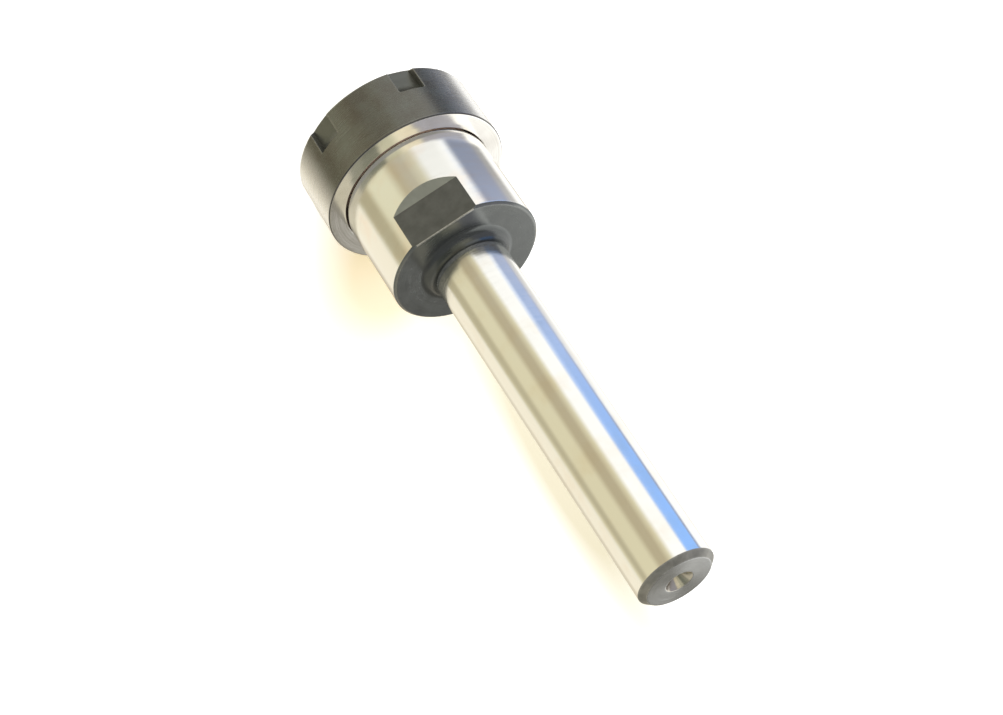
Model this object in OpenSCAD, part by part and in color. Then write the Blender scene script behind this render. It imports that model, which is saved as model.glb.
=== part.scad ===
// Straight-shank collet chuck holder: a turned and ground body, its clamping nut and a slit spring collet.
// Millimetres. It stands on the flat front face of the nut, with the shank up along +Z.

/* [Shank] */
// Diameter of the ground straight shank
shank_d = 20; // [16:0.5:24]
// Length of the ground part of the shank, from its end face
shank_len = 100; // [60:1:160]
// Width of the 45 degree chamfer round the end face
shank_chamfer = 1.5; // [0.5:0.1:2.5]
// Length of the unground strip between the ground part and the root fillet
neck_len = 0.4; // [0.2:0.1:5]
// Radius of the fillet at the root of the shank
root_r = 3; // [1:0.5:5]
// Mouth diameter of the 60 degree centre hole in the end face
centre_d = 7; // [5:0.1:10]
// Diameter of the pilot drilling below the centre hole
centre_pilot_d = 3.2; // [1.5:0.1:4]
// Length of the straight part of the pilot drilling
centre_pilot_len = 3; // [1:0.5:8]

/* [Head] */
// Radial step from the crest of the thread out to the head
head_step = 0.25; // [0.25:0.25:4]
// Solid wall between the room behind the collet and the rear face of the head
head_wall = 5.2; // [3:0.1:20]
// Width of the 45 degree chamfer round the rear face
head_chamfer = 0.6; // [0.2:0.1:1.5]
// Radial width of the bevel at the front edge of the head
head_bevel = 0.3; // [0.2:0.1:1.5]
// Length of that bevel along the axis
head_bevel_len = 1.7; // [0.3:0.1:3]
// Width across the two spanner flats
flat_af = 36; // [33:0.5:38]
// Length of each spanner flat, before its 45 degree run-out
flat_len = 10.9; // [6:0.1:16]

/* [Nose and thread] */
// Nominal diameter of the thread that the nut runs on
thread_d = 40; // [37:0.5:43]
// Pitch of the thread
thread_pitch = 1.5; // [1:0.25:2]
// Radial clearance between the thread of the nose and that of the nut
thread_fit = 0.1; // [0.02:0.01:0.1]
// Width of the undercut between the thread and the head
undercut_w = 2; // [1:0.5:3]
// Depth of the undercut below the pitch line of the thread
undercut_depth = 0.6; // [0.2:0.1:1]
// Width of the 45 degree chamfer at the front of the nose
nose_chamfer = 1; // [0.3:0.1:1.5]

/* [Clamping nut] */
// Outer diameter of the nut
nut_d = 50; // [47:0.5:60]
// Length of the nut
nut_len = 22.5; // [19:0.5:32]
// Gap left between the nut and the head when the nut is tight
nut_gap = 0.3; // [0.2:0.1:3]
// Diameter of the flat front face, inside the bevel
nut_face_d = 37.8; // [34:0.2:44]
// Length of the front bevel along the axis
nut_bevel_len = 4.9; // [2:0.1:7]
// Width of the broken edge round the rear face
nut_edge = 0.3; // [0.1:0.1:1]
// Width of the 45 degree chamfer at the mouth of the thread
nut_mouth_chamfer = 0.9; // [0.3:0.1:1.5]
// Number of spanner slots round the nut
slot_count = 6; // [4:1:8]
// Width of a spanner slot
slot_w = 7; // [4:0.5:10]
// Depth of a spanner slot
slot_depth = 2.5; // [1:0.1:2.8]
// Length of a slot at its full depth, from the front of the nut
slot_len = 8; // [6:0.5:10]
// Radius of the milled run-out at the closed end of a slot
slot_run_r = 4.5; // [3:0.5:8]
// Thickness of the extractor lip that hooks behind the land of the collet
lip_w = 2.2; // [1:0.1:3]
// How far the lip reaches in behind that land on its deep side
lip_reach = 1.3; // [0.6:0.1:2]

/* [Collet] */
// Largest diameter of the collet
collet_d = 33; // [29:0.5:35]
// Length of the collet
collet_len = 40; // [32:1:56]
// Bore of the collet, which grips the tool shank
collet_bore = 16; // [4:1:20]
// Diameter of the front face of the collet
collet_front_d = 27.5; // [25:0.5:29]
// Depth of the front face of the collet below that of the nut
collet_inset = 1; // [0.6:0.1:3]
// Length of the round land between the front cone and the groove
collet_land = 0.84; // [0.5:0.01:3]
// Radial depth of the extractor groove
groove_depth = 2.5; // [2.2:0.1:3]
// Slits cut from each end of the collet
slit_count = 8; // [4:1:10]
// Width of a slit
slit_w = 1; // [0.5:0.1:1.5]
// Length left uncut at the far end of a slit
slit_bridge = 5; // [3:0.5:8]
// Chamfer at the two ends of the bore and at the rear edge
collet_chamfer = 0.5; // [0.2:0.1:1]

/* [Clearances] */
// Gap along the normal between the collet and each cone that it seats in
seat_gap = 0.2; // [0.1:0.05:0.4]
// Radial gap round the land of the collet
land_gap = 0.35; // [0.2:0.05:0.6]
// Play of the extractor lip on each side in its groove
lip_play = 0.4; // [0.2:0.1:0.8]
// Radial gap that the shallow side of the lip leaves for the collet to tilt out
lip_free = 0.4; // [0.2:0.1:0.8]
// Radial room round the start of the collet's rear taper
relief_gap = 0.7; // [0.4:0.1:1.2]
// Axial gap between the collet's groove and the first turn of the nut's thread
thread_lead = 0.9; // [0.5:0.1:2]
// Axial gap between the front of the nose and the floor of the nut
nose_gap = 0.7; // [0.3:0.1:2]
// Length that the socket's taper runs on past the collet
socket_over = 2; // [1:0.5:5]
// Length of the plain room behind the socket's taper
room_len = 2; // [1:0.5:10]
// Radial step from the end of the taper in to that room
room_step = 0.9; // [0.3:0.1:2]

/* [Hidden] */
$fn = 144;

// Angles that the standard collet, a 60 degree centre drill and a twist drill set
cone_deg = 30;
taper_deg = 8;
centre_deg = 30;
drill_deg = 59;
// How far a cutting shape reaches past the surface that it opens
over = 1;

// Radii, from the driving diameters
shank_r = shank_d / 2;
nut_r = nut_d / 2;
collet_r = collet_d / 2;
front_r = collet_front_d / 2;
bore_r = collet_bore / 2;
head_r = thread_d / 2 + head_step;
// The pitch line lies 0.32476 of a pitch inside the crest of a 60 degree metric thread
pitch_r = thread_d / 2 - 0.32476 * thread_pitch;
nut_bore_r = pitch_r + thread_fit;

// Heights of the collet, upwards from the front face of the nut
z_collet = collet_inset;
z_land = z_collet + (collet_r - front_r) / tan(cone_deg);
z_groove = z_land + collet_land;
z_taper = z_groove + lip_w + 2 * lip_play;
z_collet_end = z_collet + collet_len;

// Heights inside the nut
z_lip = z_groove + lip_play;
z_thread = z_taper + thread_lead;

// Heights of the holder body
z_nose = z_thread + nose_gap;
z_head = nut_len + nut_gap;
z_socket_end = z_collet_end + socket_over;
z_room_end = z_socket_end + room_len;
z_rear = z_room_end + head_wall;
z_ground = z_rear + root_r + neck_len;
z_top = z_ground + shank_len;

// Radius of the collet's rear taper at height z, and that of the socket round it
function taper_r(z) = collet_r - (z - z_taper) * tan(taper_deg);
function socket_r(z) = taper_r(z) + seat_gap / cos(taper_deg);

// Radius of the nut's front cone at height z, and the height where it has radius r
function nut_cone_r(z) = front_r + (z - z_collet) * tan(cone_deg) + seat_gap / cos(cone_deg);
function nut_cone_z(r) = z_collet + (r - front_r - seat_gap / cos(cone_deg)) / tan(cone_deg);

// Half section of the turned outside of the body, from the nose up to the end of the shank
module body_outline() {
    undercut_r = pitch_r - undercut_depth;
    polygon([
        [0, z_nose],
        [pitch_r - nose_chamfer, z_nose],
        [pitch_r, z_nose + nose_chamfer],
        [pitch_r, z_head - undercut_w],
        [undercut_r, z_head - undercut_w],
        [undercut_r, z_head],
        [head_r - head_bevel, z_head],
        [head_r, z_head + head_bevel_len],
        [head_r, z_rear - head_chamfer],
        [head_r - head_chamfer, z_rear],
        [shank_r, z_rear],
        [shank_r, z_top - shank_chamfer],
        [shank_r - shank_chamfer, z_top],
        [0, z_top]
    ]);
}

// Half section of the fillet at the root of the shank
module root_fillet() {
    difference() {
        translate([shank_r - over, z_rear - over]) square(root_r + over);
        translate([shank_r + root_r, z_rear + root_r]) circle(root_r);
    }
}

// Half section of the socket for the collet, with the drilled room behind it
module socket_section() {
    room_r = socket_r(z_socket_end) - room_step;
    polygon([
        [0, z_nose - over],
        [socket_r(z_nose - over), z_nose - over],
        [socket_r(z_socket_end), z_socket_end],
        [room_r, z_socket_end],
        [room_r, z_room_end],
        [0, z_room_end + room_r / tan(drill_deg)]
    ]);
}

// Half section of the 60 degree centre hole and its pilot drilling in the end of the shank
module centre_section() {
    mouth_r = centre_d / 2;
    pilot_r = centre_pilot_d / 2;
    z_pilot = z_top - (mouth_r - pilot_r) / tan(centre_deg);
    z_drill = z_pilot - centre_pilot_len;
    polygon([
        [0, z_drill - pilot_r / tan(drill_deg)],
        [pilot_r, z_drill],
        [pilot_r, z_pilot],
        [mouth_r, z_top],
        [mouth_r, z_top + over],
        [0, z_top + over]
    ]);
}

// Cutter for one spanner flat: open at the rear face, with a 45 degree run-out towards the nut
module flat_cutter() {
    flat_r = flat_af / 2;
    reach = head_r - flat_r + over;
    z_flat = z_rear - flat_len;
    rotate([90, 0, 90])
        linear_extrude(2 * head_r + 2 * over, center = true)
            polygon([
                [flat_r, z_flat],
                [flat_r + reach, z_flat - reach],
                [flat_r + reach, z_rear + over],
                [flat_r, z_rear + over]
            ]);
}

// Turned body: threaded nose with the taper socket, head with two flats, and the ground shank
module holder_body() {
    color("silver")
        difference() {
            rotate_extrude()
                difference() {
                    union() {
                        body_outline();
                        root_fillet();
                    }
                    socket_section();
                    centre_section();
                }
            for (side = [0, 180]) rotate([0, 0, side]) flat_cutter();
        }
}

// Half section of the nut, before its lip and slots are cut
module nut_section() {
    recess_r = collet_r + land_gap;
    relief_r = collet_r + relief_gap;
    lip_deep_r = collet_r - lip_reach;
    mouth_z = collet_inset / 2;
    polygon([
        [nut_cone_r(mouth_z), 0],
        [nut_face_d / 2, 0],
        [nut_r, nut_bevel_len],
        [nut_r, nut_len - nut_edge],
        [nut_r - nut_edge, nut_len],
        [nut_bore_r + nut_mouth_chamfer, nut_len],
        [nut_bore_r, nut_len - nut_mouth_chamfer],
        [nut_bore_r, z_thread],
        [relief_r, z_thread],
        [relief_r, z_lip + lip_w],
        [lip_deep_r, z_lip + lip_w],
        [lip_deep_r, z_lip],
        [recess_r, z_lip],
        [recess_r, nut_cone_z(recess_r)],
        [nut_cone_r(mouth_z), mouth_z]
    ]);
}

// Off-centre bore of the extractor lip: deep on one side, flush with the recess on the other
module lip_bore() {
    deep_r = collet_r - lip_reach;
    free_r = collet_r + lip_free;
    translate([(free_r - deep_r) / 2, 0, z_lip - lip_play / 2])
        cylinder(h = lip_w + lip_play, r = (free_r + deep_r) / 2);
}

// Cutter for one spanner slot: straight from the front, then rising out on the cutter's radius
module slot_cutter() {
    floor_r = nut_r - slot_depth;
    rotate([90, 0, 0])
        linear_extrude(slot_w, center = true)
            union() {
                translate([floor_r, -over]) square([slot_depth + over, slot_len + over]);
                translate([floor_r + slot_run_r, slot_len]) circle(slot_run_r);
            }
}

// Clamping nut: slotted outside, coned and lipped inside for the collet, threaded at the rear
module clamping_nut() {
    color("dimgray")
        difference() {
            rotate_extrude() nut_section();
            lip_bore();
            for (i = [0 : slot_count - 1]) rotate([0, 0, i * 360 / slot_count]) slot_cutter();
        }
}

// Half section of the collet: front cone, land, extractor groove and long rear taper
module collet_section() {
    root = collet_r - groove_depth;
    polygon([
        [bore_r, z_collet + collet_chamfer],
        [bore_r + collet_chamfer, z_collet],
        [front_r, z_collet],
        [collet_r, z_land],
        [collet_r, z_groove],
        [root, z_groove],
        [root, z_taper],
        [collet_r, z_taper],
        [taper_r(z_collet_end - collet_chamfer), z_collet_end - collet_chamfer],
        [taper_r(z_collet_end - collet_chamfer) - collet_chamfer, z_collet_end],
        [bore_r + collet_chamfer, z_collet_end],
        [bore_r, z_collet_end - collet_chamfer]
    ]);
}

// Slits from one end, each a thin plate from the axis out, between heights low and high
module slits(low, high, first_deg) {
    for (i = [0 : slit_count - 1])
        rotate([0, 0, first_deg + i * 360 / slit_count])
            translate([0, -slit_w / 2, low]) cube([collet_r + over, slit_w, high - low]);
}

// Spring collet: one piece, slit from both ends in turn so that it closes evenly
module collet() {
    color("lightsteelblue")
        difference() {
            rotate_extrude() collet_section();
            slits(z_collet - over, z_collet_end - slit_bridge, 0);
            slits(z_collet + slit_bridge, z_collet_end + over, 180 / slit_count);
        }
}

holder_body();
clamping_nut();
collet();
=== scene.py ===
"""Look of a straight-shank collet chuck holder, built round its CAD solids.

The holder stands on the flat face of its clamping nut, with the shank up. Every turned surface is a
profile carried round the axis on a grid; flats and spanner slots are cut into the rings of that grid.
"""

import logging
import math
from dataclasses import dataclass, field
from enum import Enum
from functools import cache
from typing import Any, Sequence

import bmesh
import bpy
import numpy as np
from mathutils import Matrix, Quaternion, Vector


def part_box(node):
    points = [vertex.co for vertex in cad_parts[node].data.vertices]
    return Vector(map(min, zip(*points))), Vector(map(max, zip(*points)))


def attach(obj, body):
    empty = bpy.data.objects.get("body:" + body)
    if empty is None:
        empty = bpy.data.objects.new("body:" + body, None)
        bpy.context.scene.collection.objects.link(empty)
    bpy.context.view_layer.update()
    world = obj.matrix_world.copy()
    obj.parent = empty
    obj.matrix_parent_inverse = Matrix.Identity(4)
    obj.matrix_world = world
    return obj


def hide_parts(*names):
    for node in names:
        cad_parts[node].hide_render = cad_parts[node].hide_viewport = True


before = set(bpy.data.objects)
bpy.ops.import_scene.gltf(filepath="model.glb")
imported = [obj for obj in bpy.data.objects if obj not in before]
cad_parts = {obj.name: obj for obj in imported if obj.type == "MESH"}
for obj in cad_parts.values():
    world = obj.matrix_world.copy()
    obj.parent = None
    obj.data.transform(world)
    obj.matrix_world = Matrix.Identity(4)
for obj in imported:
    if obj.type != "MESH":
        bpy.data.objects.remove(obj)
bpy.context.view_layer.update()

LOG = logging.getLogger("collet_holder")
MM = 0.001
WEAR = "wear"
Colour = tuple[float, float, float]
Place = tuple[float, float, float]
Points = tuple[np.ndarray, np.ndarray]

# Radii of machined edges: barely broken, broken, and softly rounded.
HAIR = 0.05 * MM
FINE = 0.1 * MM
SOFT = 0.15 * MM

# Points along each stretch of a cross section.
FLAT_POINTS = 16
BEND_POINTS = 6
SIDE_POINTS = 50
FLOOR_POINTS = 8
RIM_POINTS = 5
LAND_POINTS = 16

# Distance of a support row from an arc, distance below which points merge, and turn of a sharp edge.
SUPPORT = 0.35 * MM
MERGE = 0.0005 * MM
SHARP_DEG = 32.0

# Height of the nose below its first thread.
NOSE_LEAD = 0.5 * MM


class Finish(Enum):
    """Surface finishes of the three pieces."""

    GROUND = "ground_steel"
    SHANK = "ground_shank"
    OXIDE = "black_oxide"
    SLOPE = "oxide_run_out"
    REAR_FACE = "oxide_turned_face"
    ROOT = "oxide_fillet"
    TURNED = "turned_steel"
    END_FACE = "shank_end_face"
    END_CHAMFER = "shank_end_chamfer"
    CONE = "centre_hole_cone"
    CENTRE = "centre_hole"
    NUT = "nut_oxide"
    GAP = "undercut_brown_painted_light"
    SLOT = "nut_slot_oxide"
    NUT_EDGE = "nut_rear_edge"
    THREAD = "oiled_thread"
    COLLET = "collet_steel"


@dataclass(frozen=True)
class Corner:
    """One corner of a turned profile, and the finish of the side that follows it."""

    radius: float
    height: float
    finish: Finish
    fillet: float = 0.0
    stops: tuple[float, ...] = ()
    shift: float = 0.0
    steps: int = 4


@dataclass
class Rows:
    """Rows of a turned grid: one radius, height and wear for each, and the finish of the band after it."""

    radius: np.ndarray
    height: np.ndarray
    wear: np.ndarray
    shift: np.ndarray
    finish: list[Finish]


def turned_rows(corners: Sequence[Corner], closed: bool = False) -> Rows:
    """Turns a profile's corners into the rows of a grid, with wear on its rounded outer edges.

    A corner with a fillet becomes an arc that is tangent to both of its sides: it starts and ends
    fillet * tan(turn / 2) from the corner, and its points are spaced evenly by angle. On each side a
    support row lies a short way in from the arc, so that shading and wear stay near the edge. Stops
    are further rows, as shares of the way along a side.

    Args:
        corners: The profile's corners in order.
        closed: Whether the last corner joins the first.

    Returns:
        The rows, in the order of the profile.
    """
    count = len(corners)
    place = np.array([(c.radius, c.height) for c in corners])
    arcs: list[np.ndarray] = []
    convex = [False] * count
    for i, corner in enumerate(corners):
        inner = closed or 0 < i < count - 1
        before = place[i] - place[i - 1]
        after = place[(i + 1) % count] - place[i]
        if not inner or corner.fillet == 0.0:
            arcs.append(place[i][None, :])
            continue
        before = before / np.linalg.norm(before)
        after = after / np.linalg.norm(after)
        turn = math.atan2(before[0] * after[1] - before[1] * after[0], float(before @ after))
        convex[i] = turn > 0
        side = np.array([-before[1], before[0]]) * math.copysign(1.0, turn)
        angle = np.linspace(0.0, abs(turn), corner.steps + 1)[:, None]
        start = place[i] - before * corner.fillet * math.tan(abs(turn) / 2)
        arcs.append(start + corner.fillet * (np.sin(angle) * before + (1 - np.cos(angle)) * side))

    rows: list[tuple[float, ...]] = []
    finish: list[Finish] = []
    for i, corner in enumerate(corners):
        rows += [(*point, float(convex[i]), corner.shift) for point in arcs[i]]
        if closed or i < count - 1:
            start, end = arcs[i][-1], arcs[(i + 1) % count][0]
            way, drift = end - start, corners[(i + 1) % count].shift - corner.shift
            length = float(np.linalg.norm(way))
            shares = set(corner.stops)
            if length > 3 * SUPPORT:
                shares |= {SUPPORT / length, 1 - SUPPORT / length}
            rows += [(*(start + way * share), 0.0, corner.shift + drift * share) for share in sorted(shares)]
        finish += [corner.finish] * (len(rows) - len(finish))
    radius, height, wear, shift = np.array(rows).T
    return Rows(radius, height, wear, shift, finish)


def along_rows(values: Sequence[float], like: np.ndarray) -> np.ndarray:
    """One value for each row, repeated along the columns of a grid."""
    return np.broadcast_to(np.asarray(values)[:, None], like.shape).copy()


def as_stops(shares: np.ndarray) -> tuple[float, ...]:
    """Shares of the way along a side, as plain numbers."""
    return tuple(float(share) for share in shares)


@dataclass
class Ring:
    """Cross sections on a grid: x and y for each row and column, with what each column is."""

    x: np.ndarray
    y: np.ndarray
    edge: np.ndarray
    inside: np.ndarray


def bezier(start: Points, middle: Points, end: Points, steps: int) -> Points:
    """Curve through two ends that leans towards a middle point, for each row.

    A point at share t is (1 - t)^2 of the start, 2 t (1 - t) of the middle and t^2 of the end.

    Args:
        start: Arrays x and y of the first points.
        middle: Arrays x and y of the corner points.
        end: Arrays x and y of the last points.
        steps: Number of points.

    Returns:
        Arrays x and y, one row each and one column for each point.
    """
    t = np.linspace(0.0, 1.0, steps)[None, :]
    weights = ((1 - t) ** 2, 2 * t * (1 - t), t**2)
    x = sum(w * p[0][:, None] for w, p in zip(weights, (start, middle, end)))
    y = sum(w * p[1][:, None] for w, p in zip(weights, (start, middle, end)))
    return x, y


def flatted_ring(radius: np.ndarray, flat: np.ndarray, half_angle: np.ndarray, edge: float) -> Ring:
    """Cross sections of a round bar with two opposite flats.

    In one quarter, from the middle of the flat to the side: first points spaced evenly across the
    flat, with y the smaller of the flat's distance and the circle; then the rounded corner; then
    points spaced evenly by angle round the circle. The other quarters are its mirror images. A row
    whose flats lie outside the circle is scaled onto it.

    Args:
        radius: Radius of the bar in each row.
        flat: Distance of the flats from the axis in each row, or infinity.
        half_angle: Half of the angle that the columns of a flat take up in each row.
        edge: Length of the rounding on each side of a flat's edge.

    Returns:
        The cross sections, all the way round.
    """
    reach = np.minimum(edge, 0.3 * radius * half_angle)
    corner_x = radius * np.sin(half_angle)
    start_x = corner_x - reach
    shares = np.linspace(0.0, 0.94, FLAT_POINTS)[None, :]
    flat_x = start_x[:, None] * shares
    flat_y = np.minimum(flat[:, None], np.sqrt(np.maximum(radius[:, None] ** 2 - flat_x**2, 0.0)))
    on_circle = np.sqrt(np.maximum(radius**2 - start_x**2, 0.0))
    first = (start_x, np.minimum(flat, on_circle))
    middle = (corner_x, np.minimum(flat, radius * np.cos(half_angle)))
    safe = np.maximum(radius, 1e-9)
    turn = half_angle + reach / safe
    bend_x, bend_y = bezier(first, middle, (radius * np.sin(turn), radius * np.cos(turn)), BEND_POINTS)
    spread = np.r_[0.012, np.linspace(0.03, 1.0, SIDE_POINTS)][None, :]
    angle = turn[:, None] + (math.pi / 2 - turn[:, None]) * spread
    side_x, side_y = radius[:, None] * np.sin(angle), radius[:, None] * np.cos(angle)

    x = np.hstack([flat_x, bend_x, side_x])
    y = np.hstack([flat_y, bend_y, side_y])
    half_bend = BEND_POINTS // 2
    edge_flag = np.r_[np.zeros(FLAT_POINTS), np.ones(BEND_POINTS), np.zeros(side_x.shape[1])]
    inside = np.r_[np.ones(FLAT_POINTS + half_bend), np.zeros(half_bend + side_x.shape[1])]
    back = slice(-2, 0, -1)
    full_x = np.hstack([x, x[:, -2::-1], -x[:, 1:], -x[:, back]])
    full_y = np.hstack([y, -y[:, -2::-1], -y[:, 1:], y[:, back]])
    scale = np.where(flat >= radius, radius / np.maximum(np.hypot(full_x, full_y).T, 1e-12), 1.0).T
    around = [np.r_[f, f[-2::-1], f[1:], f[back]] for f in (edge_flag, inside)]
    return Ring(full_x * scale, full_y * scale, around[0], around[1])


def slotted_ring(radius: np.ndarray, floor: np.ndarray, half_width: float, count: int, edge: float) -> Ring:
    """Cross sections of a round nut with straight slots milled into it.

    In half of one share of the circle, from the middle of a slot: first the slot's flat floor, then
    its wall, which runs out to the circle, then the rounded edge, then points spaced evenly by angle
    to the middle of the land. Its mirror image and the turns about the axis complete the ring.

    Args:
        radius: Radius of the nut in each row.
        floor: Distance of the slot floors from the axis in each row, or infinity.
        half_width: Half of a slot's width.
        count: Number of slots.
        edge: Length of the rounding on each side of a slot's edge.

    Returns:
        The cross sections, all the way round.
    """
    wall_x = np.sqrt(radius**2 - half_width**2)
    foot_x = np.minimum(floor, wall_x)
    across = half_width * np.linspace(0.0, 1.0, FLOOR_POINTS)[None, :]
    floor_x = np.minimum(floor[:, None], np.sqrt(radius[:, None] ** 2 - across**2))
    floor_y = np.broadcast_to(across, floor_x.shape)
    reach = np.minimum(edge, 0.5 * (wall_x - foot_x))
    wide = np.full_like(radius, half_width)
    turn = np.arcsin(half_width / radius) + reach / radius
    last = (radius * np.cos(turn), radius * np.sin(turn))
    bend_x, bend_y = bezier((wall_x - reach, wide), (wall_x, wide), last, RIM_POINTS)
    spread = np.r_[0.04, np.linspace(0.1, 1.0, LAND_POINTS)][None, :]
    angle = turn[:, None] + (math.pi / count - turn[:, None]) * spread
    land_x, land_y = radius[:, None] * np.cos(angle), radius[:, None] * np.sin(angle)

    x = np.hstack([floor_x, bend_x, land_x])
    y = np.hstack([floor_y, bend_y, land_y])
    edge_flag = np.r_[np.zeros(FLOOR_POINTS), np.ones(RIM_POINTS), np.zeros(land_x.shape[1])]
    inside = np.r_[np.ones(FLOOR_POINTS), np.zeros(RIM_POINTS + land_x.shape[1])]
    xs, ys, edges, insides = [], [], [], []
    for step in range(count):
        for part, flip, share in ((slice(None), 1.0, step), (slice(-2, 0, -1), -1.0, step + 1)):
            base = 2 * math.pi * share / count
            px, py = x[:, part], flip * y[:, part]
            xs.append(px * math.cos(base) - py * math.sin(base))
            ys.append(px * math.sin(base) + py * math.cos(base))
            edges.append(edge_flag[part])
            insides.append(inside[part])
    return Ring(np.hstack(xs), np.hstack(ys), np.concatenate(edges), np.concatenate(insides))


def skin(name: str, grid: np.ndarray, finish: np.ndarray, wear: np.ndarray, closed: bool) -> bpy.types.Object:
    """Makes a mesh from a grid whose columns close on themselves.

    Args:
        name: Name of the piece.
        grid: Points, as rows by columns by three.
        finish: Index of the material slot of each face, as rows by columns.
        wear: Wear of each point, as rows by columns, from 0 to 1.
        closed: Whether the last row joins the first.

    Returns:
        The piece, with doubled points merged, its faces outwards and its feature edges sharp.
    """
    rows, columns = grid.shape[:2]
    index = np.arange(rows * columns).reshape(rows, columns)
    low = index if closed else index[:-1]
    high = np.roll(index, -1, axis=0) if closed else index[1:]
    faces = np.stack([low, np.roll(low, -1, axis=1), np.roll(high, -1, axis=1), high], axis=-1)
    mesh = bpy.data.meshes.new(name)
    mesh.from_pydata(grid.reshape(-1, 3).tolist(), [], faces.reshape(-1, 4).tolist())
    mesh.polygons.foreach_set("material_index", finish[: len(low)].ravel().astype(np.int32))
    mesh.attributes.new(WEAR, "FLOAT", "POINT").data.foreach_set("value", wear.ravel().astype(np.float32))

    work = bmesh.new()
    work.from_mesh(mesh)
    bmesh.ops.remove_doubles(work, verts=work.verts, dist=MERGE)
    bmesh.ops.dissolve_degenerate(work, edges=work.edges, dist=MERGE)
    bmesh.ops.recalc_face_normals(work, faces=work.faces)
    work.to_mesh(mesh)
    work.free()
    mesh.shade_smooth()
    mesh.set_sharp_from_angle(angle=math.radians(SHARP_DEG))
    piece = bpy.data.objects.new(name, mesh)
    bpy.context.scene.collection.objects.link(piece)
    even = piece.modifiers.new("even_normals", "WEIGHTED_NORMAL")
    even.keep_sharp = True
    return piece


def new_material(name: str) -> bpy.types.Material:
    """Makes an empty material with one Principled surface.

    Args:
        name: Name of the material.

    Returns:
        The material.
    """
    material = bpy.data.materials.new(name)
    material.use_nodes = True
    return material


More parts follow.
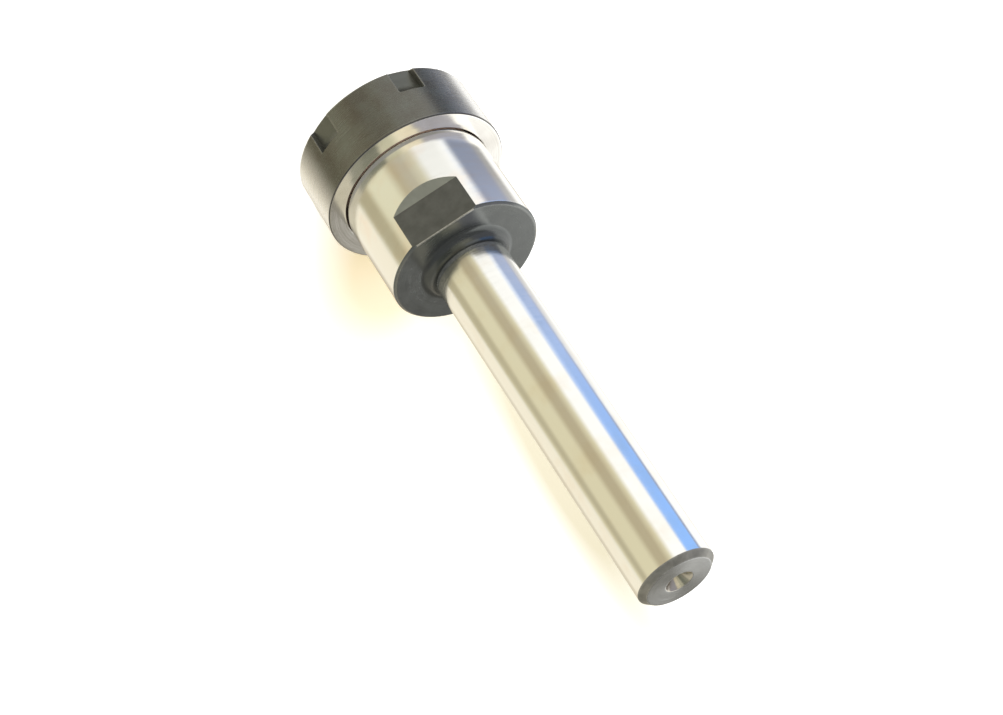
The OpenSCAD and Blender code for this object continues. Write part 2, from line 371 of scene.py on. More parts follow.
class Graph:
    """A node tree, with short calls for the nodes that the finishes and the studio use."""

    def __init__(self, tree: bpy.types.NodeTree) -> None:
        """Takes over a node tree.

        Args:
            tree: Tree of a material or of the world.
        """
        self.tree = tree
        self.surface = tree.nodes.get("Principled BSDF")
        self.where = self.node("ShaderNodeTexCoord").outputs
        self.place = self.where["Object"]

    def node(self, kind: str, *values: Any, **settings: Any) -> bpy.types.Node:
        """Adds a node.

        Args:
            kind: Its type.
            values: What its first sockets get, in order.
            settings: Its properties.

        Returns:
            The node.
        """
        made = self.tree.nodes.new(kind)
        for key, value in settings.items():
            setattr(made, key, value)
        for socket, value in zip(made.inputs, values):
            self.feed(socket, value)
        return made

    def feed(self, socket: bpy.types.NodeSocket, value: Any) -> None:
        """Links a socket or writes a plain value into it.

        Args:
            socket: The socket that gets the value.
            value: Another socket, a number, or a colour as a tuple.
        """
        if isinstance(value, bpy.types.NodeSocket):
            self.tree.links.new(value, socket)
        else:
            socket.default_value = (*value, 1.0) if isinstance(value, tuple) else value

    def math(self, operation: str, *values: Any) -> bpy.types.NodeSocket:
        """Works out one operation on values."""
        return self.node("ShaderNodeMath", *values, operation=operation).outputs[0]

    def mix(self, share: Any, first: Any, second: Any) -> bpy.types.NodeSocket:
        """Mixes two colours.

        Args:
            share: Share of the second colour.
            first: The first colour.
            second: The second colour.

        Returns:
            The mixed colour.
        """
        made = self.node("ShaderNodeMix", data_type="RGBA")
        for index, value in zip((0, 6, 7), (share, first, second)):
            self.feed(made.inputs[index], value)
        return made.outputs[2]

    def span(self, value: Any, low: float, high: float, first: float, last: float, **settings: Any) -> Any:
        """Carries a value from low...high to first...last, held at both ends."""
        return self.node("ShaderNodeMapRange", value, low, high, first, last, **settings).outputs[0]

    def noise(self, vector: Any, scale: float, detail: float, rough: float = 0.55) -> bpy.types.NodeSocket:
        """Adds a noise texture.

        Args:
            vector: Where it is read.
            scale: Its scale.
            detail: Number of finer layers.
            rough: Share of each finer layer.

        Returns:
            Its grey value.
        """
        made = self.node("ShaderNodeTexNoise")
        for key, value in (("Vector", vector), ("Scale", scale), ("Detail", detail), ("Roughness", rough)):
            self.feed(made.inputs[key], value)
        return made.outputs[0]

    def parts(self, kind: str = "Object") -> tuple[bpy.types.NodeSocket, ...]:
        """Coordinates x, y and z; in the world, the generated ones are the direction looked in."""
        return tuple(self.node("ShaderNodeSeparateXYZ", self.where[kind]).outputs)

    def radius(self) -> bpy.types.NodeSocket:
        """Distance from the axis."""
        x, y, _ = self.parts()
        return self.math("SQRT", self.math("ADD", self.math("MULTIPLY", x, x), self.math("MULTIPLY", y, y)))

    def marks(self, turn: float, fine: Any) -> bpy.types.NodeSocket:
        """Vector for marks that run round the axis.

        Args:
            turn: Scale round the axis.
            fine: Value that changes quickly from mark to mark.

        Returns:
            The vector (x / radius * turn, y / radius * turn, fine).
        """
        x, y, _ = self.parts()
        radius = self.radius()
        round_x, round_y = (self.math("MULTIPLY", self.math("DIVIDE", way, radius), turn) for way in (x, y))
        return self.node("ShaderNodeCombineXYZ", round_x, round_y, fine).outputs[0]

    def around(self, along: float, turn: float) -> bpy.types.NodeSocket:
        """Vector for marks round a wall: fine along the axis, by a scale per metre."""
        return self.marks(turn, self.math("MULTIPLY", self.parts()[2], along))

    def rings(self, across: float, turn: float) -> bpy.types.NodeSocket:
        """Vector for marks turned on a flat face: fine along the radius, by a scale per metre."""
        return self.marks(turn, self.math("MULTIPLY", self.radius(), across))

    def grain_round_axis(self, anisotropic: float) -> None:
        """Stretches highlights across marks that run round the axis."""
        tangent = self.node("ShaderNodeTangent", direction_type="RADIAL", axis="Z").outputs[0]
        self.set(Tangent=tangent, Anisotropic=anisotropic, Anisotropic_Rotation=0.25)

    def bump(self, height: Any, strength: float, distance: float) -> None:
        """Raises the surface's normal by a height.

        Args:
            height: The height, from 0 to 1.
            strength: Share of the effect.
            distance: Rise for a height of 1.
        """
        made = self.node("ShaderNodeBump")
        for key, value in (("Strength", strength), ("Distance", distance), ("Height", height)):
            self.feed(made.inputs[key], value)
        self.set(Normal=made.outputs[0])

    def set(self, **values: Any) -> None:
        """Feeds the surface's sockets; an underscore in a name stands for a space."""
        for key, value in values.items():
            self.feed(self.surface.inputs[key.replace("_", " ")], value)


@dataclass(frozen=True)
class GroundSteel:
    """Cylindrically ground steel: near-mirror round the axis, blurred along it by its fine rings."""

    colour: Colour = (0.88, 0.87, 0.84)
    stain: Colour = (0.84, 0.78, 0.69)
    roughness: float = 0.15
    anisotropic: float = 0.7
    # Painted shade near the head: its dark tone, its share, and the heights over which it fades out.
    film: Colour = (0.4, 0.4, 0.39)
    film_share: float = 0.12
    film_low: float = 0.0
    film_high: float = 0.0

    def build(self, name: str) -> bpy.types.Material:
        """Builds the material; from its low to its high height a painted shade, a darker tone, fades out
        along the axis.

        Args:
            name: Name of the material.

        Returns:
            The material.
        """
        material = new_material(name)
        g = Graph(material.node_tree)
        lines = g.noise(g.around(2600.0, 1.2), 1.0, 4.0, 0.65)
        bands = g.noise(g.around(110.0, 0.9), 1.0, 2.0)
        cloud = g.noise(g.place, 95.0, 4.0)
        colour = g.mix(g.span(cloud, 0.5, 0.75, 0.0, 0.7), self.colour, self.stain)
        # Painted shade: the shank darkens towards the head's rear face.
        if self.film_high:
            film = g.span(g.parts()[2], self.film_low, self.film_high, self.film_share, 0.0)
            colour = g.mix(film, colour, self.film)
        dull = g.math("MULTIPLY", g.span(lines, 0.3, 0.7, 0.75, 1.35), self.roughness)
        dull = g.math("ADD", dull, g.span(bands, 0.35, 0.7, 0.0, 0.04))
        g.set(Base_Color=colour, Metallic=1.0, Roughness=dull)
        g.grain_round_axis(self.anisotropic)
        g.bump(lines, 0.1, 0.02 * MM)
        return material


@dataclass(frozen=True)
class BlackOxide:
    """Satin black oxide over machined steel, rubbed bright along the edges."""

    colour: Colour = (0.152, 0.157, 0.156)
    dark: Colour = (0.108, 0.113, 0.111)
    steel: Colour = (0.72, 0.71, 0.67)
    metallic: float = 0.85
    roughness: float = 0.34
    worn: float = 0.8
    across: bool = False
    # Painted sheen: its full share, the facing range over which it grows, and its pale tone.
    sheen: float = 0.0
    sheen_range: tuple[float, float] = (0.4, 0.82)
    sheen_tone: Colour = (0.97, 0.95, 0.92)
    # Painted shade round the shank's root: its radius, fade, share and dark tone.
    painted_root_shade_r: float = 0.0
    painted_root_shade_fade: float = 1.3 * MM
    painted_root_shade_share: float = 0.58
    painted_root_shade_tone: Colour = (0.03, 0.033, 0.035)

    def build(self, name: str) -> bpy.types.Material:
        """Builds the material; the marks run across the radius on a face and along the axis otherwise.

        Towards a grazing look the colour lightens to a pale tone: a painted sheen, of which sheen is the full
        share.
        Inside a given radius the colour darkens towards a dark tone: painted shade round the shank's root.

        Args:
            name: Name of the material.

        Returns:
            The material.
        """
        material = new_material(name)
        g = Graph(material.node_tree)
        vector = g.rings(2200.0, 1.4) if self.across else g.around(2200.0, 1.4)
        lines = g.noise(vector, 1.0, 3.0, 0.6)
        cloud = g.noise(g.place, 260.0, 5.0, 0.6)
        grain = g.noise(g.place, 5200.0, 2.0)
        colour = g.mix(g.span(cloud, 0.3, 0.7, 0.0, 1.0), self.dark, self.colour)
        chips = g.noise(g.place, 1500.0, 4.0, 0.7)
        painted = g.node("ShaderNodeAttribute", attribute_name=WEAR).outputs["Fac"]
        rubbed = g.math("MULTIPLY", painted, g.span(chips, 0.34, 0.6, 0.35, 1.0))
        colour = g.mix(g.math("MULTIPLY", rubbed, self.worn), colour, self.steel)
        # Painted shade: darker towards the axis inside a radius, round the shank's root.
        if self.painted_root_shade_r:
            root = g.span(g.radius(), self.painted_root_shade_r - self.painted_root_shade_fade, self.painted_root_shade_r, self.painted_root_shade_share, 0.0)
            colour = g.mix(root, colour, self.painted_root_shade_tone)
        # Painted sheen: the colour lightens towards a grazing look.
        if self.sheen:
            grazing = g.node("ShaderNodeLayerWeight").outputs["Facing"]
            film = g.span(grazing, *self.sheen_range, 0.0, self.sheen, interpolation_type="SMOOTHSTEP")
            colour = g.mix(film, colour, self.sheen_tone)
        dull = g.math("ADD", g.span(cloud, 0.3, 0.7, 0.0, 0.06), g.span(lines, 0.3, 0.7, -0.04, 0.04))
        dull = g.math("ADD", dull, self.roughness)
        g.set(Base_Color=colour, Metallic=self.metallic, Roughness=dull)
        g.bump(g.math("ADD", lines, g.math("MULTIPLY", grain, 0.6)), 0.12, 0.03 * MM)
        return material


@dataclass(frozen=True)
class TurnedSteel:
    """A bright face turned on the lathe: fine rings that pull the highlights out along the radius."""

    colour: Colour = (0.86, 0.85, 0.82)
    shade: Colour = (0.72, 0.7, 0.66)
    roughness: float = 0.22
    anisotropic: float = 0.75
    rings_per_m: float = 3400.0
    ring_bump: float = 0.15

    def build(self, name: str) -> bpy.types.Material:
        """Builds the material.

        Args:
            name: Name of the material.

        Returns:
            The material.
        """
        material = new_material(name)
        g = Graph(material.node_tree)
        lines = g.noise(g.rings(self.rings_per_m, 0.8), 1.0, 3.0, 0.65)
        cloud = g.noise(g.place, 120.0, 2.0)
        colour = g.mix(g.span(cloud, 0.35, 0.72, 0.0, 0.8), self.colour, self.shade)
        colour = g.mix(g.span(lines, 0.56, 0.8, 0.0, 0.4), colour, self.shade)
        dull = g.math("ADD", g.span(lines, 0.3, 0.7, -0.04, 0.06), self.roughness)
        g.set(Base_Color=colour, Metallic=1.0, Roughness=dull)
        g.grain_round_axis(self.anisotropic)
        g.bump(lines, self.ring_bump, 0.02 * MM)
        return material


FINISHES: dict[Finish, Any] = {
    Finish.GROUND: GroundSteel(stain=(0.88, 0.76, 0.66), roughness=0.125),
    # The shank carries a painted shade near its root, below the head's rear face.
    Finish.SHANK: GroundSteel(roughness=0.13, film_low=54.3 * MM, film_high=62 * MM),
    Finish.OXIDE: BlackOxide(worn=0.65),
    # The run-out's lighter tone is partly its milled finish and partly painted light, standing for the
    # brighter light its upward slope catches.
    Finish.SLOPE: BlackOxide((0.34, 0.35, 0.31), (0.28, 0.29, 0.255)),
    # The rear face carries a painted shade round the shank's root.
    Finish.REAR_FACE: BlackOxide(
        (0.163, 0.173, 0.172), (0.138, 0.147, 0.147), roughness=0.21, across=True, painted_root_shade_r=13.2 * MM
    ),
    Finish.ROOT: BlackOxide((0.4, 0.41, 0.415), (0.27, 0.28, 0.285), roughness=0.2, worn=0.0),
    Finish.TURNED: TurnedSteel(roughness=0.15, anisotropic=0.62),
    # The undercut wall is lit by the lamps through the gap; its light brown tone adds painted light falling
    # into the gap.
    Finish.GAP: BlackOxide((0.74, 0.53, 0.41), (0.5, 0.35, 0.27), metallic=0.0, roughness=0.6, worn=0.0),
    Finish.END_FACE: TurnedSteel((0.45, 0.46, 0.46), (0.34, 0.35, 0.35), rings_per_m=2400.0),
    Finish.END_CHAMFER: BlackOxide((0.34, 0.335, 0.31), (0.18, 0.178, 0.165), roughness=0.45, worn=0.2),
    Finish.CONE: TurnedSteel((0.64, 0.63, 0.59), (0.34, 0.3, 0.24), roughness=0.24),
    Finish.CENTRE: TurnedSteel((0.5, 0.43, 0.33), (0.22, 0.18, 0.14), roughness=0.3),
    # The nut's sides carry a painted sheen at a grazing look.
    Finish.NUT: BlackOxide((0.168, 0.17, 0.15), (0.142, 0.131, 0.113), roughness=0.24, worn=0.12, sheen=0.95),
    Finish.SLOT: BlackOxide((0.17, 0.171, 0.152), (0.135, 0.136, 0.12), roughness=0.36, worn=0.1),
    Finish.NUT_EDGE: BlackOxide((0.1, 0.098, 0.095), (0.06, 0.058, 0.056), roughness=0.3, worn=0.05),
    Finish.THREAD: BlackOxide((0.16, 0.155, 0.14), (0.09, 0.088, 0.08), roughness=0.3),
    Finish.COLLET: GroundSteel((0.66, 0.65, 0.63), roughness=0.2),
}


@cache
def material_of(finish: Finish) -> bpy.types.Material:
    """The finish's material, built once."""
    return FINISHES[finish].build(finish.value)


def dress(piece: bpy.types.Object, finishes: Sequence[Finish]) -> None:
    """Gives a piece one material slot for each finish, in order."""
    for finish in finishes:
        piece.data.materials.append(material_of(finish))


@dataclass
class Thread:
    """One thread: a ridge of V section that winds round the axis, right-handed."""

    name: str
    body: str
    slot: str
    root: float
    crest: float
    low: float
    high: float
    phase: float
    pitch: float = 1.5 * MM
    crest_flat: float = 0.1875 * MM
    flank_deg: float = 30.0
    sink: float = 0.06 * MM
    per_turn: int = 120

    def build(self) -> bpy.types.Object:
        """Builds the ridge.

        Round the helix the ridge's middle climbs one pitch a turn. Its section is a V with a flat
        crest and flanks that lean by flank_deg, sunk a little into the core. At both ends the crest
        fades into the core over a third of a turn.

        Returns:
            The ridge, riding on its body.
        """
        turns = (self.high - self.low) / self.pitch
        angle = np.linspace(0.0, 2 * math.pi * turns, int(self.per_turn * turns))[:, None]
        fade = np.clip(np.minimum(angle, angle[-1] - angle) / (2 * math.pi / 3), 0.0, 1.0)
        fade = fade * fade * (3 - 2 * fade)
        outward = math.copysign(1.0, self.crest - self.root)
        height = abs(self.crest - self.root)
        half_crest = self.crest_flat / 2
        half_root = half_crest + (height + self.sink) * math.tan(math.radians(self.flank_deg))
        depth = np.array([-self.sink, height, height, -self.sink])[None, :]
        lean = np.array([-half_root, -half_crest, half_crest, half_root])[None, :]
        rise = np.where(depth > 0, depth * fade - self.sink * (1 - fade), depth)
        radius = self.root + outward * rise
        middle = self.low + self.pitch * angle / (2 * math.pi)
        z = middle + lean
        turned = angle + self.phase
        grid = np.stack([radius * np.cos(turned), radius * np.sin(turned), z], axis=-1)
        wear = np.where(depth > 0, 1.0, 0.0) * np.ones_like(angle)
        piece = skin(self.name, grid, np.zeros(grid.shape[:2], int), wear, closed=False)
        dress(piece, [Finish.THREAD])
        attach(piece, self.body)
        return piece


@dataclass
class HolderBody:
    """The turned body: taper socket, threaded nose, head with two spanner flats, and ground shank."""

    shank_r: float = 10 * MM
    shank_len: float = 103.4 * MM
    end_chamfer: float = 1.5 * MM
    neck: float = 1.1 * MM
    neck_gap: float = 0.02 * MM
    root_fillet: float = 3 * MM
    centre_r: float = 3.5 * MM
    centre_deg: float = 60.0
    pilot_r: float = 1.6 * MM
    pilot_len: float = 3 * MM
    head_r: float = 20.25 * MM
    head_len: float = 27.6 * MM
    rear_chamfer: float = 0.6 * MM
    front_bevel: float = 0.3 * MM
    front_bevel_len: float = 1.7 * MM
    flat: float = 18 * MM
    flat_len: float = 10.9 * MM
    flat_slack: float = 0.15 * MM
    flat_strip: float = 0.02
    slope_rows: int = 16
    tip_rows: tuple[float, ...] = (0.8 * MM, 0.15 * MM)
    lip_stops: tuple[float, ...] = (0.58, 0.67, 0.75, 0.83, 0.9, 0.96)
    lip_wear: float = 0.12
    edge: float = FINE
    rear_edge: float = 0.25 * MM
    margin: float = 0.2 * MM
    nose_chamfer: float = 0.6 * MM
    thread_end: float = 0.4 * MM
    thread_root: float = 19.1 * MM
    thread_crest: float = 19.91 * MM
    undercut_r: float = 18.91 * MM
    undercut_w: float = 2 * MM
    taper_deg: float = 8.0
    mouth_r: float = 16.477 * MM
    socket_over: float = 2 * MM
    room_len: float = 2 * MM
    room_step: float = 0.9 * MM
    drill_deg: float = 59.0
    nose: float = field(init=False)
    front: float = field(init=False)
    rear: float = field(init=False)
    top: float = field(init=False)

    def __post_init__(self) -> None:
        """Takes the heights of the nose and the shank's end from the frame, and works out the head's."""
        low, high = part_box("holder_body")
        self.nose, self.top = low.z, high.z
        self.rear = self.top - self.shank_len
        self.front = self.rear - self.head_len

    def corners(self) -> list[Corner]:
        """The profile, from the bottom of the socket round the outside to the bottom of the centre hole.

        On the head's side a row lies at each height where the run-out of a flat crosses a column.

        Returns:
            The corners in order.
        """
        socket_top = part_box("collet")[1].z + self.socket_over
        room_top = socket_top + self.room_len
        socket_r = self.mouth_r - (socket_top - self.nose) * math.tan(math.radians(self.taper_deg))
        room_r = socket_r - self.room_step
        drill = math.tan(math.radians(self.drill_deg))
        cone_low = self.top - (self.centre_r - self.pilot_r) / math.tan(math.radians(self.centre_deg / 2))
        pilot_low = cone_low - self.pilot_len
        side = self.rear - self.rear_chamfer - self.front - self.front_bevel_len
        full = math.acos(self.flat / self.head_r)
        arc = self.head_r * np.cos(np.linspace(self.flat_strip, full, self.slope_rows)) - self.flat
        rises = self.rear - self.flat_len - arc - self.front - self.front_bevel_len
        side_stops = as_stops(np.r_[rises[0] - np.array(self.tip_rows), rises] / side)
        return [
            Corner(0.0, room_top + room_r / drill, Finish.THREAD),
            Corner(room_r, room_top, Finish.THREAD, FINE),
            Corner(room_r, socket_top, Finish.THREAD, FINE),
            Corner(socket_r, socket_top, Finish.COLLET, FINE),
            Corner(self.mouth_r, self.nose, Finish.THREAD, 0.25 * MM),
            Corner(self.thread_root - self.nose_chamfer, self.nose, Finish.THREAD, FINE),
            Corner(self.thread_root, self.nose + self.nose_chamfer, Finish.THREAD, FINE),
            Corner(self.thread_root, self.front - self.undercut_w, Finish.THREAD, HAIR),
            Corner(self.undercut_r, self.front - self.undercut_w, Finish.GAP, HAIR),
            Corner(self.undercut_r, self.front, Finish.GAP, FINE),
            Corner(self.head_r - self.front_bevel, self.front, Finish.GROUND, 0.06 * MM),
            Corner(self.head_r, self.front + self.front_bevel_len, Finish.GROUND, SOFT, side_stops),
            Corner(self.head_r, self.rear - self.rear_chamfer, Finish.REAR_FACE, FINE, self.lip_stops),
            Corner(self.head_r - self.rear_chamfer, self.rear, Finish.REAR_FACE, FINE),
            Corner(self.shank_r, self.rear, Finish.REAR_FACE, self.root_fillet, steps=14),
            Corner(self.shank_r, self.rear + self.root_fillet + self.neck_gap, Finish.ROOT),
            Corner(self.shank_r, self.rear + self.root_fillet + self.neck, Finish.SHANK),
            Corner(self.shank_r, self.top - self.end_chamfer, Finish.END_CHAMFER, 0.12 * MM),
            Corner(self.shank_r - self.end_chamfer, self.top, Finish.END_FACE, FINE),
            Corner(self.centre_r, self.top, Finish.CONE, 0.16 * MM),
            Corner(self.pilot_r, cone_low, Finish.CENTRE),
            Corner(self.pilot_r, pilot_low, Finish.CENTRE),
            Corner(0.0, pilot_low - self.pilot_r / drill, Finish.CENTRE),
        ]

    def build(self) -> bpy.types.Object:
        """Builds the body with its flats.

        On the outside of the head the flat's distance grows by 45 degrees below its full length, and
        shrinks on a small radius at the rear face. The rings of the rear face run straight from the
        head's outline, flats included, to the round root of the shank.

        Returns:
            The body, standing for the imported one.
        """
        rows = turned_rows(self.corners())
        r, z = rows.radius, rows.height
        outside = (r > self.undercut_r + self.margin) & (z > self.front) & (z <= self.rear)
        flat_low = self.rear - self.flat_len
        depth = np.clip(z - (self.rear - self.rear_edge), 0.0, self.rear_edge)
        rounded = self.rear_edge - np.sqrt(self.rear_edge**2 - depth**2)
        flat = np.where(outside, self.flat + np.maximum(flat_low - z, 0.0) - rounded, np.inf)
        cut = outside & (r > self.head_r - self.rear_chamfer - self.margin)
        half = np.full_like(r, self.flat_strip)
        half[cut] = np.arccos(np.clip(flat[cut] / r[cut], -1.0, math.cos(self.flat_strip)))
        last = int(np.flatnonzero(cut)[-1])
        half[last + 1:] = half[last]
        ring = flatted_ring(r, np.where(cut, flat, np.inf), half, self.edge)
        grid = np.stack([ring.x, ring.y, along_rows(z, ring.x)], axis=-1)

        in_root = (np.arange(len(r)) > last) & (r < self.shank_r + self.root_fillet + 1e-6)
        inner = int(np.flatnonzero(in_root)[0])
        share = np.r_[0.0, 0.06, np.linspace(0.15, 1.0, inner - last - 1)][:, None, None]
        grid[last: inner + 1] = grid[last] * (1 - share) + grid[inner] * share

        wear = along_rows(rows.wear, ring.x)
        wear[cut & (flat < r)] = 0.0
        lip = cut & (z > self.rear - self.rear_edge - 1e-9)
        wear[lip] = self.lip_wear + (1 - self.lip_wear) * ring.inside
        order = list(dict.fromkeys([*rows.finish, Finish.OXIDE, Finish.SLOPE]))
        faces = along_rows([order.index(finish) for finish in rows.finish], ring.x)
        slope = z < flat_low - self.flat_slack
        for finish, part in ((Finish.SLOPE, slope), (Finish.OXIDE, ~slope)):
            faces[np.ix_(cut & (flat < r) & part, ring.inside > 0)] = order.index(finish)
        piece = skin("holder_body_turned", grid, faces, wear, closed=False)
        dress(piece, order)
        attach(piece, "holder")
        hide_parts("holder_body")
        return piece

    def thread(self) -> bpy.types.Object:
        """Builds the thread of the nose.

        Returns:
            The thread.
        """
        low, high = self.nose + NOSE_LEAD, self.front - self.undercut_w - self.thread_end
        root, crest = self.thread_root, self.thread_crest
        return Thread("nose_thread", "holder", "holder_steel", root, crest, low, high, phase=0.0).build()


@dataclass
class ClampingNut:
    """The nut: six spanner slots outside; cone, extractor lip and thread inside."""

    outer_r: float = 25 * MM
    face_r: float = 18.9 * MM
    bevel_len: float = 4.9 * MM
    rear_edge: float = 0.3 * MM
    mouth_r: float = 13.69 * MM
    mouth_len: float = 0.5 * MM
    recess_r: float = 16.85 * MM
    cone_top: float = 5.97 * MM
    lip_low: float = 7.0 * MM
    lip_high: float = 9.2 * MM
    lip_r: float = 16.05 * MM
    lip_shift: float = 0.85 * MM
    relief_r: float = 17.2 * MM
    thread_low: float = 10.5 * MM
    thread_lead: float = 0.6 * MM
    thread_end: float = 0.9 * MM
    thread_root: float = 20.05 * MM
    thread_crest: float = 19.24 * MM
    thread_mouth: float = 20.36 * MM
    slots: int = 6
    slot_half: float = 3.5 * MM
    slot_depth: float = 2.5 * MM
    slot_len: float = 8 * MM
    slot_run: float = 4.5 * MM
    edge: float = 0.2 * MM
    margin: float = 0.2 * MM
    top: float = field(init=False)

    def __post_init__(self) -> None:
        """Takes the height of the nut from the frame."""
        self.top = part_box("clamping_nut")[1].z

    def corners(self) -> list[Corner]:
        """The closed profile, from the mouth round the outside and back through the thread.

        Rows lie close together where the slots' floors run out into the bevel and into the side.

        Returns:
            The corners in order.
        """
        bevel_r = np.array([22.5, 22.6, 22.7, 22.78, 22.88, 23.1, 23.6, 24.2]) * MM
        bevel_stops = as_stops((bevel_r - self.face_r) / (self.outer_r - self.face_r))
        run_out = np.r_[np.linspace(8.0, 11.4, 12), np.linspace(11.55, 12.15, 13)]
        side_z = np.r_[6.0, 7.0, run_out, 12.5, 14.0, 18.0] * MM
        side_stops = as_stops((side_z - self.bevel_len) / (self.top - self.rear_edge - self.bevel_len))
        root_z = self.top - self.thread_mouth + self.thread_root
        return [
            Corner(self.mouth_r, 0.0, Finish.NUT, SOFT),
            Corner(self.face_r, 0.0, Finish.NUT, 0.3 * MM, bevel_stops),
            Corner(self.outer_r, self.bevel_len, Finish.NUT, 0.35 * MM, side_stops),
            Corner(self.outer_r, self.top - self.rear_edge, Finish.NUT_EDGE, 0.08 * MM),
            Corner(self.outer_r - self.rear_edge, self.top, Finish.TURNED, 0.08 * MM),
            Corner(self.thread_mouth, self.top, Finish.TURNED, 0.06 * MM),
            Corner(self.thread_root, root_z, Finish.THREAD),
            Corner(self.thread_root, self.thread_low, Finish.NUT),
            Corner(self.relief_r, self.thread_low, Finish.NUT, FINE),
            Corner(self.relief_r, self.lip_high, Finish.NUT, FINE),
            Corner(self.lip_r, self.lip_high, Finish.NUT, SOFT, shift=self.lip_shift),
            Corner(self.lip_r, self.lip_low, Finish.NUT, SOFT, shift=self.lip_shift),
            Corner(self.recess_r, self.lip_low, Finish.NUT, HAIR),
            Corner(self.recess_r, self.cone_top, Finish.NUT, FINE),
            Corner(self.mouth_r, self.mouth_len, Finish.NUT, HAIR),
        ]

    def build(self) -> bpy.types.Object:
        """Builds the nut with its slots.

        A slot's floor keeps one distance from the axis along its full length, and then rises on the
        cutter's radius: floor + run - sqrt(run^2 - (z - length)^2).

        Returns:
            The nut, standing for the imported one.
        """
        rows = turned_rows(self.corners(), closed=True)
        r, z = rows.radius, rows.height
        outside = (r > self.face_r) & (z < self.slot_len + self.slot_run)
        past = np.clip(z - self.slot_len, 0.0, self.slot_run)
        rise = self.slot_run - np.sqrt(self.slot_run**2 - past**2)
        floor = np.where(outside, self.outer_r - self.slot_depth + rise, np.inf)
        in_bore = (r < self.thread_mouth + self.margin) & (z > self.thread_low - self.margin)
        floor[in_bore] = np.inf
        ring = slotted_ring(r, floor, self.slot_half, self.slots, self.edge)
        grid = np.stack([ring.x + rows.shift[:, None], ring.y, along_rows(z, ring.x)], axis=-1)
        wear = along_rows(rows.wear, ring.x)
        cut = floor < r - HAIR
        wear[cut] = np.maximum(wear[cut] * (1 - ring.inside), ring.edge)
        order = list(dict.fromkeys([*rows.finish, Finish.SLOT]))
        faces = along_rows([order.index(finish) for finish in rows.finish], ring.x)
        in_slot = np.maximum(ring.inside, np.roll(ring.inside, -1)) > 0
        faces[np.ix_(cut, in_slot)] = order.index(Finish.SLOT)
        piece = skin("clamping_nut_turned", grid, faces, wear, closed=True)
        dress(piece, order)
        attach(piece, "nut")
        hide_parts("clamping_nut")
        return piece

    def thread(self) -> bpy.types.Object:
        """Builds the thread of the nut, half a turn out of step with that of the nose.

        Returns:
            The thread.
        """
        low, high = self.thread_low + self.thread_lead, self.top - self.thread_end
        root, crest = self.thread_root, self.thread_crest
        nose_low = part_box("holder_body")[0].z + NOSE_LEAD
        phase = 2 * math.pi * (low - nose_low) / Thread.pitch + math.pi
        return Thread("nut_thread", "nut", "nut_steel", root, crest, low, high, phase).build()


@dataclass
class Collet:
    """The slit spring collet, which keeps the shape of its solid."""

    weld: float = 0.002 * MM
    edge: float = 0.08 * MM
    edge_deg: float = 30.0

    def build(self) -> bpy.types.Object:
        """Dresses the solid in ground steel with softened edges.

        Returns:
            The collet.
        """
        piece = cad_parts["collet"]
        piece.data.materials.clear()
        dress(piece, [Finish.COLLET])
        join = piece.modifiers.new("join", "WELD")
        join.merge_threshold = self.weld
        soft = piece.modifiers.new("soft_edges", "BEVEL")
        soft.width = self.edge
        soft.segments = 2
        soft.limit_method = "ANGLE"
        soft.angle_limit = math.radians(self.edge_deg)
        soft.harden_normals = False
        return piece


@dataclass(frozen=True)
class Card:
    """One far card that the steel mirrors: a tone between two azimuths and two elevations, in degrees."""

    start: float
    end: float
    tone: Colour
    soft: float = 8.0
    low: float = -90.0
    high: float = 6.0


@dataclass(frozen=True)
class PaintedShadow:
    """One soft ellipse of painted shadow on the floor: its tone, middle, half widths and turn in degrees."""

    tone: Colour
    middle: Place
    reach: Place
    turn: float


@dataclass(frozen=True)
class Lamp:
    """One square soft lamp, with its power in watts."""

    name: str
    place: Place
    size: float
    power: float
    colour: Colour

    def build(self, aim: Place) -> None:
        """Builds the lamp.

        Args:
            aim: The point that it faces.
        """
        data = bpy.data.lights.new(self.name, "AREA")
        data.shape = "SQUARE"
        data.size = self.size
        data.energy = self.power
        data.color = self.colour
        lamp = bpy.data.objects.new(self.name, data)
        lamp.location = self.place
        lamp.rotation_mode = "QUATERNION"
        lamp.rotation_quaternion = (Vector(aim) - Vector(self.place)).to_track_quat("-Z", "Y")
        lamp.visible_glossy = False
        bpy.context.scene.collection.objects.link(lamp)


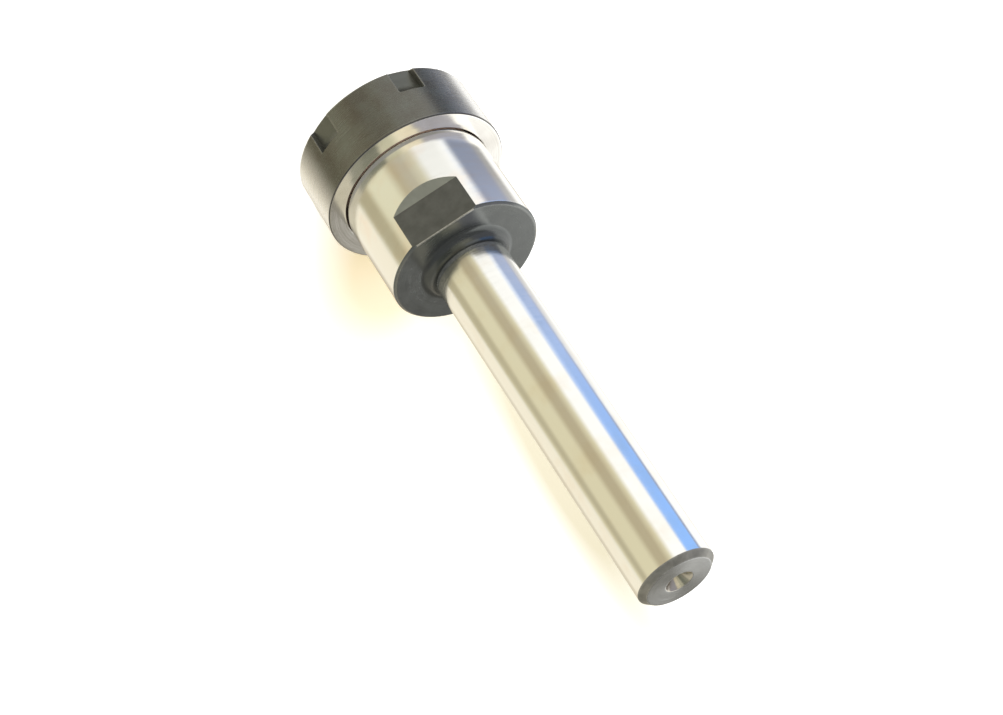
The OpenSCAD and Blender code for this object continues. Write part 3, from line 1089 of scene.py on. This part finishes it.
@dataclass
class Studio:
    """Floor, lamps and the ring of far cards that the steel mirrors.

    Azimuths run from +Y towards +X. A later card lies over those before it.
    """

    floor_size: float = 8.0
    daylight: float = 0.2
    paper_glow: Colour = (0.9, 0.9, 0.88)
    lamp_aim: Place = (0.0, 0.0, 0.06)
    lamps: tuple[Lamp, ...] = (
        Lamp("key", (0.31, 0.76, 0.79), size=0.95, power=17.0, colour=(1.0, 0.99, 0.97)),
        Lamp("fill", (-0.7, 0.3, 0.7), size=0.8, power=0.8, colour=(1.0, 0.98, 0.94)),
    )
    # Painted shadows of the holder on the floor: warm soft ellipses in the floor's glow.
    painted_shadows: tuple[PaintedShadow, ...] = (
        PaintedShadow((0.5, 0.36, 0.1), (-20 * MM, -58 * MM, 0.0), (36 * MM, 62 * MM, 1.0), -15.0),
        PaintedShadow((0.27, 0.2, 0.0), (-12 * MM, -225 * MM, 0.0), (17 * MM, 260 * MM, 1.0), -2.0),
    )
    card_fade: float = 3.0
    cards: tuple[Card, ...] = (
        # The low ring, which the walls of nut, head and shank mirror.
        Card(-190, 190, (1.2, 1.2, 1.17)),
        Card(-190, -94, (1.03, 0.96, 0.78), 12),
        Card(-200, -150, (0.58, 0.50, 0.36), 14, -90, -31),
        Card(-200, -140, (0.76, 0.69, 0.54), 14, -31, 6),
        Card(-94, 21, (0.79, 0.73, 0.50), 12),
        Card(-94, -18, (0.90, 0.93, 0.74), 12, -90, -38),
        Card(-93, -66, (0.48, 0.43, 0.28), 10, -90, -31),
        Card(-84, -67, (0.55, 0.50, 0.34), 10, -31, 6),
        Card(-24, 8, (0.54, 0.47, 0.31), 14),
        Card(-12, 62, (0.60, 0.61, 0.55), 14, -90, -38),
        Card(-195, -140, (1.1, 1.07, 1.0), 14, -90, -37),
        Card(74, 121, (0.48, 0.50, 0.63), 9, -90, -31),
        Card(117, 134, (0.58, 0.57, 0.56), 12, -90, -31),
        Card(74, 132, (0.10, 0.10, 0.09), 9, -90, -36),
        Card(63, 109, (0.31, 0.53, 1.05), 9, -31, 6),
        Card(63, 106, (0.35, 0.64, 1.25), 9, -27, 6),
        Card(103, 108, (0.36, 0.35, 0.36), 4, -29, 6),
        # The high ring, which the rear faces, the fillet and the shank's end mirror.
        Card(-190, 190, (0.36, 0.36, 0.35), 1, 8, 95),
        Card(115, 178, (1.65, 1.63, 1.57), 3, 8, 70),
        Card(178, 230, (0.31, 0.29, 0.245), 3, 8, 60),
        Card(-152, -75, (0.80, 0.75, 0.60), 14, 8, 46),
        Card(-75, -14, (0.38, 0.38, 0.30), 10, 8, 46),
        Card(-48, -14, (0.25, 0.26, 0.20), 12, 8, 46),
        Card(-14, 45, (1.15, 1.06, 0.80), 10, 8, 46),
        Card(-14, 10, (0.74, 0.72, 0.52), 10, 8, 46),
        Card(45, 115, (0.55, 0.54, 0.60), 10, 8, 46),
    )

    def build(self) -> None:
        """Builds the floor, the world and the lamps."""
        self.floor()
        self.world()
        for lamp in self.lamps:
            lamp.build(self.lamp_aim)

    def floor(self) -> None:
        """A pale floor that shows as white, with a light warm painted shadow; reflections pass to the far
        cards.
        """
        mesh = bpy.data.meshes.new("floor")
        corners = np.array([(-1, -1, 0), (1, -1, 0), (1, 1, 0), (-1, 1, 0)]) * self.floor_size / 2
        mesh.from_pydata(corners.tolist(), [], [(0, 1, 2, 3)])
        mesh.materials.append(new_material("floor"))
        plane = bpy.data.objects.new("floor", mesh)
        plane.visible_glossy = False
        bpy.context.scene.collection.objects.link(plane)
        g = Graph(mesh.materials[0].node_tree)
        glow: Any = self.paper_glow
        # Painted shadow: each warm ellipse is mixed into the floor's glow, standing for the holder's cast
        # shadow.
        for shade in self.painted_shadows:
            within = g.node("ShaderNodeMapping", vector_type="TEXTURE")
            turn = (0.0, 0.0, math.radians(shade.turn))
            for key, entry in (("Location", shade.middle), ("Rotation", turn), ("Scale", shade.reach)):
                within.inputs[key].default_value = entry
            g.feed(within.inputs["Vector"], g.place)
            far = g.node("ShaderNodeVectorMath", operation="LENGTH")
            g.feed(far.inputs[0], within.outputs[0])
            glow = g.mix(g.span(far.outputs["Value"], 0.3, 1.0, 1.0, 0.0), glow, shade.tone)
        g.set(Base_Color=(0.93, 0.93, 0.92), Roughness=0.9, Specular_IOR_Level=0.0, Emission_Color=glow)
        path = g.node("ShaderNodeLightPath").outputs
        g.set(Emission_Strength=g.math("MAXIMUM", path["Is Camera Ray"], path["Is Transmission Ray"]))

    def world(self) -> None:
        """A white world for camera and light, in which reflections see the cards."""
        world = bpy.data.worlds.new("studio")
        bpy.context.scene.world = world
        world.use_nodes = True
        g = Graph(world.node_tree)
        x, y, z = g.parts("Generated")
        azimuth = g.math("DEGREES", g.math("ARCTAN2", x, y))
        elevation = g.math("DEGREES", g.math("ARCSINE", z))
        tone: Any = (1.0, 1.0, 1.0)
        for card in self.cards:
            middle, reach = (card.start + card.end) / 2, (card.end - card.start) / 2
            turned = g.math("PINGPONG", g.math("SUBTRACT", azimuth, middle), 180.0)
            share = g.span(turned, reach - card.soft / 2, reach + card.soft / 2, 1.0, 0.0)
            middle, reach = (card.low + card.high) / 2, (card.high - card.low) / 2
            raised = g.math("ABSOLUTE", g.math("SUBTRACT", elevation, middle))
            band = g.span(raised, reach - self.card_fade, reach + self.card_fade, 1.0, 0.0)
            share = g.math("MULTIPLY", share, band)
            tone = g.mix(share, tone, card.tone)
        path = g.node("ShaderNodeLightPath").outputs
        glossy = g.math("MULTIPLY", path["Is Glossy Ray"], g.math("SUBTRACT", 1.0, path["Is Camera Ray"]))
        back = g.tree.nodes["Background"]
        g.feed(back.inputs["Color"], g.mix(glossy, (1.0, 1.0, 1.0), tone))
        seen = g.math("MAXIMUM", path["Is Camera Ray"], path["Is Glossy Ray"])
        seen = g.math("MAXIMUM", seen, path["Is Transmission Ray"])
        g.feed(back.inputs["Strength"], g.span(seen, 0.0, 1.0, self.daylight, 1.0))


@dataclass(frozen=True)
class Camera:
    """The camera: above the shank's side, rolled so that the shank runs down to the right."""

    place: Place = (-4.78 * MM, 431.55 * MM, 334.1 * MM)
    aim: Place = (-5.87 * MM, 0.0, 79.02 * MM)
    roll_deg: float = 146.8
    lens: float = 73.83

    def build(self) -> None:
        """Builds the camera and makes it the scene's own."""
        data = bpy.data.cameras.new("photo_camera")
        data.lens = self.lens
        data.sensor_width = 36.0
        data.clip_start = 0.01
        data.clip_end = 20.0
        camera = bpy.data.objects.new("photo_camera", data)
        camera.location = self.place
        look = (Vector(self.aim) - Vector(self.place)).to_track_quat("-Z", "Y")
        camera.rotation_mode = "QUATERNION"
        camera.rotation_quaternion = look @ Quaternion((0.0, 0.0, 1.0), math.radians(self.roll_deg))
        bpy.context.scene.collection.objects.link(camera)
        bpy.context.scene.camera = camera


def main() -> None:
    """Builds the camera, the studio and the pieces."""
    logging.basicConfig(level=logging.INFO, format="%(message)s")
    bpy.context.scene.view_settings.view_transform = "Standard"
    Camera().build()
    Studio().build()
    body, nut, collet = HolderBody(), ClampingNut(), Collet()
    for build in (body.build, body.thread, nut.build, nut.thread, collet.build):
        piece = build()
        LOG.info("%s: %d faces", piece.name, len(piece.data.polygons))


if __name__ == "__main__":
    main()
